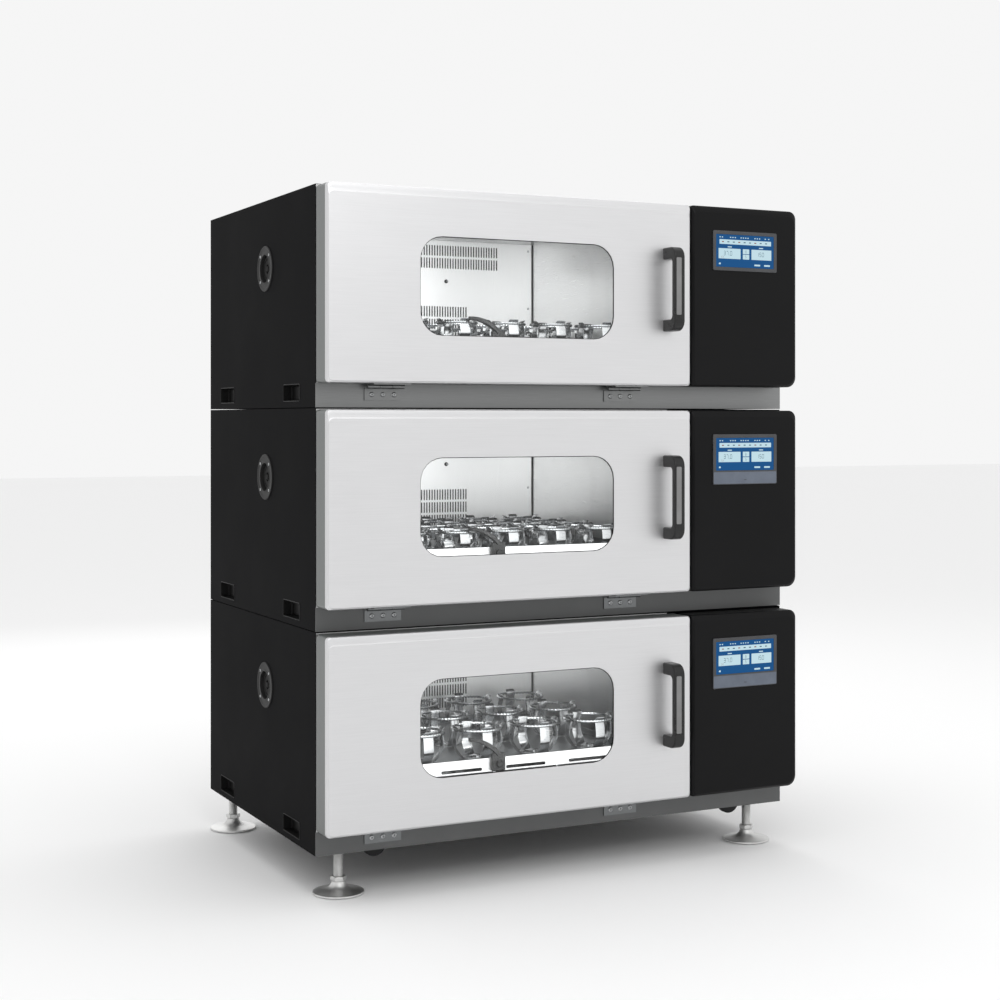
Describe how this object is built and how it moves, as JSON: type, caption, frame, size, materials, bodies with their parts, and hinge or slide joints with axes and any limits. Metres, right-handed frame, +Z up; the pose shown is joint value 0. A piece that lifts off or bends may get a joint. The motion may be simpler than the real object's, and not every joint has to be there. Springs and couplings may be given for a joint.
{
  "type": "laboratory shaking incubator",
  "caption": "Stacked orbital shaking incubator with drop-down window doors, spring-clamp trays, control boxes, levelling feet and casters.",
  "frame": {"origin": "on the floor, under the middle of the whole machine's box", "axes": "+Z up, doors face -Y, control boxes on the +X side"},
  "size_m": [1.355, 0.9884, 1.694],
  "materials": {
    "case_black": "satin",
    "liner_steel": "satin",
    "insulation_fibre": "matte",
    "duct_steel": "satin",
    "sill_grey": "satin",
    "control_black": "satin",
    "panel_plastic": "satin",
    "drive_aluminium": "satin",
    "climate_aluminium": "satin",
    "fitting_black": "matte",
    "grip_black": "matte",
    "power_housing": "satin",
    "door_silver": "satin",
    "door_frame_grey": "satin",
    "window_glass": "gloss",
    "seal_rubber": "matte",
    "handle_black": "satin",
    "hinge_steel": "satin",
    "crank_steel": "satin",
    "tray_aluminium": "satin",
    "clamp_steel": "polished",
    "fan_aluminium": "satin",
    "foot_steel": "gloss",
    "caster_steel": "satin",
    "caster_rubber": "matte"
  },
  "bodies": {
    "cabinet": {"cases": "case_black", "chamber_liners": "liner_steel", "insulation": "insulation_fibre", "duct_panels": "duct_steel", "front_sills": "sill_grey", "control_covers": "control_black", "touch_panels": "panel_plastic", "drive_units": "drive_aluminium", "climate_units": "climate_aluminium", "access_ports": "fitting_black", "lift_grips": "grip_black", "power_units": "power_housing"},
    "bottom_door": {"bottom_door_skin": "door_silver", "bottom_door_liner": "door_frame_grey", "bottom_window_panes": "window_glass", "bottom_door_seals": "seal_rubber", "bottom_door_handle": "handle_black", "bottom_door_hinge_leaves": "hinge_steel"},
    "bottom_main_crank": {"bottom_main_crank": "crank_steel"},
    "bottom_left_crank": {"bottom_left_crank": "crank_steel"},
    "bottom_right_crank": {"bottom_right_crank": "crank_steel"},
    "bottom_tray": {"bottom_tray": "tray_aluminium", "bottom_flask_clamps": "clamp_steel"},
    "bottom_fan": {"bottom_fan_rotor": "fan_aluminium"},
    "middle_door": {"middle_door_skin": "door_silver", "middle_door_liner": "door_frame_grey", "middle_window_panes": "window_glass", "middle_door_seals": "seal_rubber", "middle_door_handle": "handle_black", "middle_door_hinge_leaves": "hinge_steel"},
    "middle_main_crank": {"middle_main_crank": "crank_steel"},
    "middle_left_crank": {"middle_left_crank": "crank_steel"},
    "middle_right_crank": {"middle_right_crank": "crank_steel"},
    "middle_tray": {"middle_tray": "tray_aluminium", "middle_flask_clamps": "clamp_steel"},
    "middle_fan": {"middle_fan_rotor": "fan_aluminium"},
    "top_door": {"top_door_skin": "door_silver", "top_door_liner": "door_frame_grey", "top_window_panes": "window_glass", "top_door_seals": "seal_rubber", "top_door_handle": "handle_black", "top_door_hinge_leaves": "hinge_steel"},
    "top_main_crank": {"top_main_crank": "crank_steel"},
    "top_left_crank": {"top_left_crank": "crank_steel"},
    "top_right_crank": {"top_right_crank": "crank_steel"},
    "top_tray": {"top_tray": "tray_aluminium", "top_flask_clamps": "clamp_steel"},
    "top_fan": {"top_fan_rotor": "fan_aluminium"},
    "front_left_foot": {"front_left_foot": "foot_steel"},
    "front_right_foot": {"front_right_foot": "foot_steel"},
    "rear_left_foot": {"rear_left_foot": "foot_steel"},
    "rear_right_foot": {"rear_right_foot": "foot_steel"},
    "front_left_caster_fork": {"front_left_caster_fork": "caster_steel"},
    "front_left_caster_wheel": {"front_left_caster_wheel": "caster_rubber"},
    "front_right_caster_fork": {"front_right_caster_fork": "caster_steel"},
    "front_right_caster_wheel": {"front_right_caster_wheel": "caster_rubber"},
    "rear_left_caster_fork": {"rear_left_caster_fork": "caster_steel"},
    "rear_left_caster_wheel": {"rear_left_caster_wheel": "caster_rubber"},
    "rear_right_caster_fork": {"rear_right_caster_fork": "caster_steel"},
    "rear_right_caster_wheel": {"rear_right_caster_wheel": "caster_rubber"}
  },
  "joints": [
    {"name": "bottom_door_hinge", "type": "hinge", "parent": "cabinet", "child": "bottom_door", "pos_m": [-0.16575, -0.38425, 0.156], "axis": [1, 0, 0], "range_deg": [0, 90]},
    {"name": "bottom_main_crank_turn", "type": "hinge", "parent": "cabinet", "child": "bottom_main_crank", "pos_m": [-0.1665, 0.01275, 0.208], "axis": [0, 0, 1], "continuous": true},
    {"name": "bottom_left_crank_turn", "type": "hinge", "parent": "cabinet", "child": "bottom_left_crank", "pos_m": [-0.4365, 0.13275, 0.208], "axis": [0, 0, 1], "continuous": true},
    {"name": "bottom_right_crank_turn", "type": "hinge", "parent": "cabinet", "child": "bottom_right_crank", "pos_m": [0.1035, 0.13275, 0.208], "axis": [0, 0, 1], "continuous": true},
    {"name": "bottom_tray_pivot", "type": "hinge", "parent": "bottom_main_crank", "child": "bottom_tray", "pos_m": [-0.1665, -0.00025, 0.222], "axis": [0, 0, 1], "continuous": true},
    {"name": "bottom_fan_turn", "type": "hinge", "parent": "cabinet", "child": "bottom_fan", "pos_m": [-0.1665, 0.36175, 0.436], "axis": [0, 1, 0], "continuous": true},
    {"name": "middle_door_hinge", "type": "hinge", "parent": "cabinet", "child": "middle_door", "pos_m": [-0.16575, -0.38425, 0.686], "axis": [1, 0, 0], "range_deg": [0, 90]},
    {"name": "middle_main_crank_turn", "type": "hinge", "parent": "cabinet", "child": "middle_main_crank", "pos_m": [-0.1665, 0.01275, 0.738], "axis": [0, 0, 1], "continuous": true},
    {"name": "middle_left_crank_turn", "type": "hinge", "parent": "cabinet", "child": "middle_left_crank", "pos_m": [-0.4365, 0.13275, 0.738], "axis": [0, 0, 1], "continuous": true},
    {"name": "middle_right_crank_turn", "type": "hinge", "parent": "cabinet", "child": "middle_right_crank", "pos_m": [0.1035, 0.13275, 0.738], "axis": [0, 0, 1], "continuous": true},
    {"name": "middle_tray_pivot", "type": "hinge", "parent": "middle_main_crank", "child": "middle_tray", "pos_m": [-0.1665, -0.00025, 0.752], "axis": [0, 0, 1], "continuous": true},
    {"name": "middle_fan_turn", "type": "hinge", "parent": "cabinet", "child": "middle_fan", "pos_m": [-0.1665, 0.36175, 0.966], "axis": [0, 1, 0], "continuous": true},
    {"name": "top_door_hinge", "type": "hinge", "parent": "cabinet", "child": "top_door", "pos_m": [-0.16575, -0.38425, 1.216], "axis": [1, 0, 0], "range_deg": [0, 90]},
    {"name": "top_main_crank_turn", "type": "hinge", "parent": "cabinet", "child": "top_main_crank", "pos_m": [-0.1665, 0.01275, 1.268], "axis": [0, 0, 1], "continuous": true},
    {"name": "top_left_crank_turn", "type": "hinge", "parent": "cabinet", "child": "top_left_crank", "pos_m": [-0.4365, 0.13275, 1.268], "axis": [0, 0, 1], "continuous": true},
    {"name": "top_right_crank_turn", "type": "hinge", "parent": "cabinet", "child": "top_right_crank", "pos_m": [0.1035, 0.13275, 1.268], "axis": [0, 0, 1], "continuous": true},
    {"name": "top_tray_pivot", "type": "hinge", "parent": "top_main_crank", "child": "top_tray", "pos_m": [-0.1665, -0.00025, 1.282], "axis": [0, 0, 1], "continuous": true},
    {"name": "top_fan_turn", "type": "hinge", "parent": "cabinet", "child": "top_fan", "pos_m": [-0.1665, 0.36175, 1.496], "axis": [0, 1, 0], "continuous": true},
    {"name": "front_left_foot_screw", "type": "slide", "parent": "cabinet", "child": "front_left_foot", "axis": [0, 0, -1], "range_m": [-0.012, 0.012]},
    {"name": "front_right_foot_screw", "type": "slide", "parent": "cabinet", "child": "front_right_foot", "axis": [0, 0, -1], "range_m": [-0.012, 0.012]},
    {"name": "rear_left_foot_screw", "type": "slide", "parent": "cabinet", "child": "rear_left_foot", "axis": [0, 0, -1], "range_m": [-0.012, 0.012]},
    {"name": "rear_right_foot_screw", "type": "slide", "parent": "cabinet", "child": "rear_right_foot", "axis": [0, 0, -1], "range_m": [-0.012, 0.012]},
    {"name": "front_left_caster_swivel", "type": "hinge", "parent": "cabinet", "child": "front_left_caster_fork", "pos_m": [-0.515, -0.30025, 0.154], "axis": [0, 0, 1], "continuous": true},
    {"name": "front_left_caster_roll", "type": "hinge", "parent": "front_left_caster_fork", "child": "front_left_caster_wheel", "pos_m": [-0.493, -0.30025, 0.106], "axis": [0, 1, 0], "continuous": true},
    {"name": "front_right_caster_swivel", "type": "hinge", "parent": "cabinet", "child": "front_right_caster_fork", "pos_m": [0.515, -0.30025, 0.154], "axis": [0, 0, 1], "continuous": true},
    {"name": "front_right_caster_roll", "type": "hinge", "parent": "front_right_caster_fork", "child": "front_right_caster_wheel", "pos_m": [0.537, -0.30025, 0.106], "axis": [0, 1, 0], "continuous": true},
    {"name": "rear_left_caster_swivel", "type": "hinge", "parent": "cabinet", "child": "rear_left_caster_fork", "pos_m": [-0.541, 0.41975, 0.154], "axis": [0, 0, 1], "continuous": true},
    {"name": "rear_left_caster_roll", "type": "hinge", "parent": "rear_left_caster_fork", "child": "rear_left_caster_wheel", "pos_m": [-0.519, 0.41975, 0.106], "axis": [0, 1, 0], "continuous": true},
    {"name": "rear_right_caster_swivel", "type": "hinge", "parent": "cabinet", "child": "rear_right_caster_fork", "pos_m": [0.541, 0.41975, 0.154], "axis": [0, 0, 1], "continuous": true},
    {"name": "rear_right_caster_roll", "type": "hinge", "parent": "rear_right_caster_fork", "child": "rear_right_caster_wheel", "pos_m": [0.563, 0.41975, 0.106], "axis": [0, 1, 0], "continuous": true}
  ],
  "couplings": [
    {"joint": "bottom_left_crank_turn", "follows": "bottom_main_crank_turn", "ratio": 1},
    {"joint": "bottom_right_crank_turn", "follows": "bottom_main_crank_turn", "ratio": 1},
    {"joint": "bottom_tray_pivot", "follows": "bottom_main_crank_turn", "ratio": -1},
    {"joint": "middle_left_crank_turn", "follows": "middle_main_crank_turn", "ratio": 1},
    {"joint": "middle_right_crank_turn", "follows": "middle_main_crank_turn", "ratio": 1},
    {"joint": "middle_tray_pivot", "follows": "middle_main_crank_turn", "ratio": -1},
    {"joint": "top_left_crank_turn", "follows": "top_main_crank_turn", "ratio": 1},
    {"joint": "top_right_crank_turn", "follows": "top_main_crank_turn", "ratio": 1},
    {"joint": "top_tray_pivot", "follows": "top_main_crank_turn", "ratio": -1}
  ]
}
